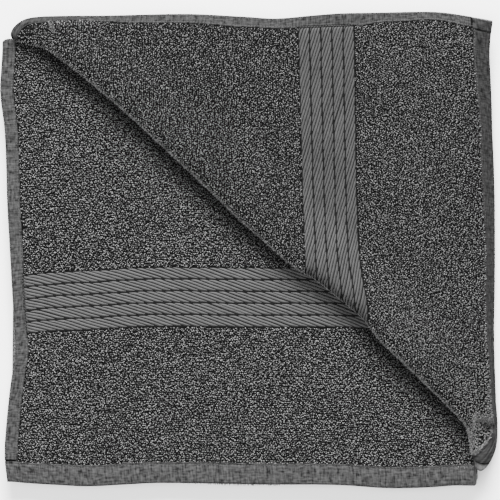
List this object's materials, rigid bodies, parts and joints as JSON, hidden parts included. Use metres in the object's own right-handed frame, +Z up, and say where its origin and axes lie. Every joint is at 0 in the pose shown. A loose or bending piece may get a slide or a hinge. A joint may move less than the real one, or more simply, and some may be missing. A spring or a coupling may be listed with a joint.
{
  "type": "folded bath sheet",
  "caption": "Terry bath sheet with dobby borders and turned hems, folded into a flat rectangular packet with one corner of the top layer turned up along the diagonal.",
  "frame": {"origin": "under the middle of the packet, on the surface it rests on", "axes": "+Z up; +X towards the long fold, +Y towards the cross fold beside the turned-up corner"},
  "size_m": [0.5228, 0.4996, 0.0415],
  "materials": {
    "terry": "matte cotton terry"
  },
  "bodies": {
    "root": {"towel": "terry"}
  },
  "joints": []
}
